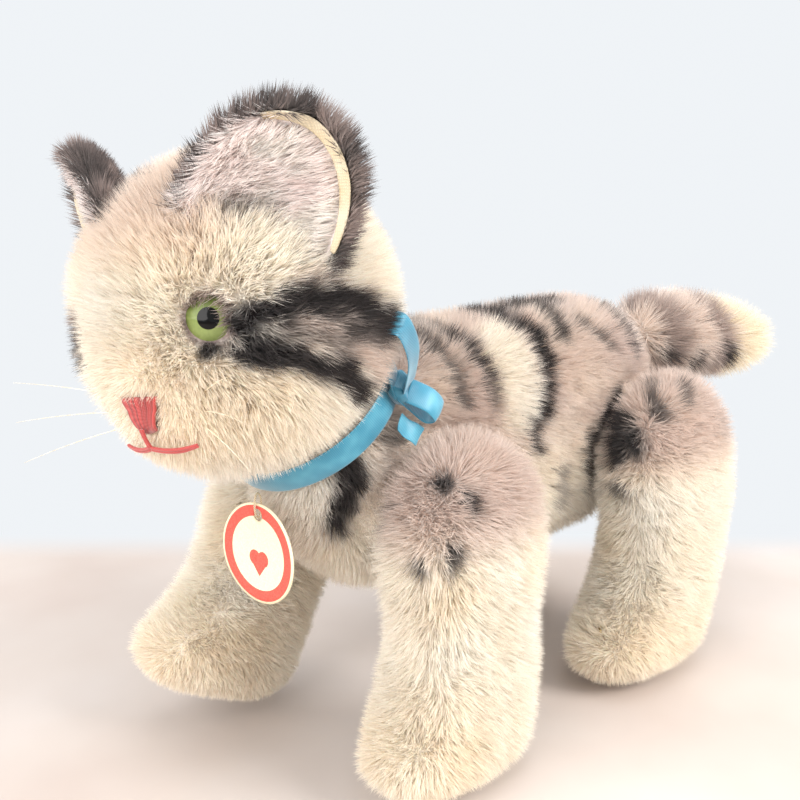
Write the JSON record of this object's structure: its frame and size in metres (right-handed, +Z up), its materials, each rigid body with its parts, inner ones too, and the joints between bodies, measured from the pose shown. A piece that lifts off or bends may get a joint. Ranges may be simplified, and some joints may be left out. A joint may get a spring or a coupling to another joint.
{
  "type": "plush cat",
  "caption": "Stuffed mohair cat standing on disc-jointed legs, with a turning head, sewn tail, glass eyes, stitched nose and mouth, ribbon collar with bow and a hanging paper tag.",
  "frame": {"origin": "middle of the whole cat's footprint on the floor", "axes": "+Z up; the cat faces -Y, its left side is +X, its tail points to +Y"},
  "size_m": [0.0936, 0.2546, 0.1684],
  "materials": {
    "mohair": "matte",
    "stuffing": "matte",
    "ear_plush": "matte",
    "eye_glass": "gloss",
    "face_thread": "satin",
    "whisker_hair": "satin",
    "ribbon_satin": "satin",
    "fibreboard": "matte",
    "steel_wire": "satin",
    "tag_card": "matte",
    "tag_cord": "matte"
  },
  "bodies": {
    "torso": {"torso_cover": "mohair", "torso_stuffing": "stuffing", "tail_cover": "mohair", "tail_stuffing": "stuffing", "neck_ribbon": "ribbon_satin", "bow_knot": "ribbon_satin", "bow_upper_loop": "ribbon_satin", "bow_lower_loop": "ribbon_satin", "bow_tail": "ribbon_satin", "neck_body_disc": "fibreboard", "neck_washer": "steel_wire", "neck_cotter_pin": "steel_wire", "left_front_leg_body_disc": "fibreboard", "left_front_leg_washer": "steel_wire", "left_front_leg_cotter_pin": "steel_wire", "right_front_leg_body_disc": "fibreboard", "right_front_leg_washer": "steel_wire", "right_front_leg_cotter_pin": "steel_wire", "left_hind_leg_body_disc": "fibreboard", "left_hind_leg_washer": "steel_wire", "left_hind_leg_cotter_pin": "steel_wire", "right_hind_leg_body_disc": "fibreboard", "right_hind_leg_washer": "steel_wire", "right_hind_leg_cotter_pin": "steel_wire"},
    "head": {"head_cover": "mohair", "head_stuffing": "stuffing", "left_ear_back": "mohair", "right_ear_back": "mohair", "left_ear_lining": "ear_plush", "right_ear_lining": "ear_plush", "left_eye_glass": "eye_glass", "right_eye_glass": "eye_glass", "left_eye_shank": "steel_wire", "right_eye_shank": "steel_wire", "nose_stitching": "face_thread", "mouth_stitching": "face_thread", "neck_limb_disc": "fibreboard", "left_whisker_1": "whisker_hair", "left_whisker_2": "whisker_hair", "left_whisker_3": "whisker_hair", "right_whisker_1": "whisker_hair", "right_whisker_2": "whisker_hair", "right_whisker_3": "whisker_hair"},
    "left_front_leg": {"left_front_leg_cover": "mohair", "left_front_leg_stuffing": "stuffing", "left_front_leg_limb_disc": "fibreboard"},
    "right_front_leg": {"right_front_leg_cover": "mohair", "right_front_leg_stuffing": "stuffing", "right_front_leg_limb_disc": "fibreboard"},
    "left_hind_leg": {"left_hind_leg_cover": "mohair", "left_hind_leg_stuffing": "stuffing", "left_hind_leg_limb_disc": "fibreboard"},
    "right_hind_leg": {"right_hind_leg_cover": "mohair", "right_hind_leg_stuffing": "stuffing", "right_hind_leg_limb_disc": "fibreboard"},
    "tag": {"paper_tag": "tag_card", "tag_thread": "tag_cord"}
  },
  "joints": [
    {"name": "neck_turn", "type": "hinge", "parent": "torso", "child": "head", "pos_m": [0, -0.06605, 0.09815], "axis": [0, -0.6157, 0.788], "continuous": true},
    {"name": "left_front_leg_turn", "type": "hinge", "parent": "torso", "child": "left_front_leg", "pos_m": [0.019, -0.0419, 0.07], "axis": [1, 0, 0], "range_deg": [-60, 45]},
    {"name": "right_front_leg_turn", "type": "hinge", "parent": "torso", "child": "right_front_leg", "pos_m": [-0.019, -0.0419, 0.07], "axis": [1, 0, 0], "range_deg": [-35, 70]},
    {"name": "left_hind_leg_turn", "type": "hinge", "parent": "torso", "child": "left_hind_leg", "pos_m": [0.019, 0.04909, 0.068], "axis": [1, 0, 0], "range_deg": [-35, 75]},
    {"name": "right_hind_leg_turn", "type": "hinge", "parent": "torso", "child": "right_hind_leg", "pos_m": [-0.019, 0.04909, 0.068], "axis": [1, 0, 0], "range_deg": [-35, 75]},
    {"name": "tag_swing", "type": "hinge", "parent": "torso", "child": "tag", "pos_m": [0.00304, -0.08223, 0.07789], "axis": [-0.9903, -0.1392, 0], "range_deg": [-5, 60]}
  ]
}
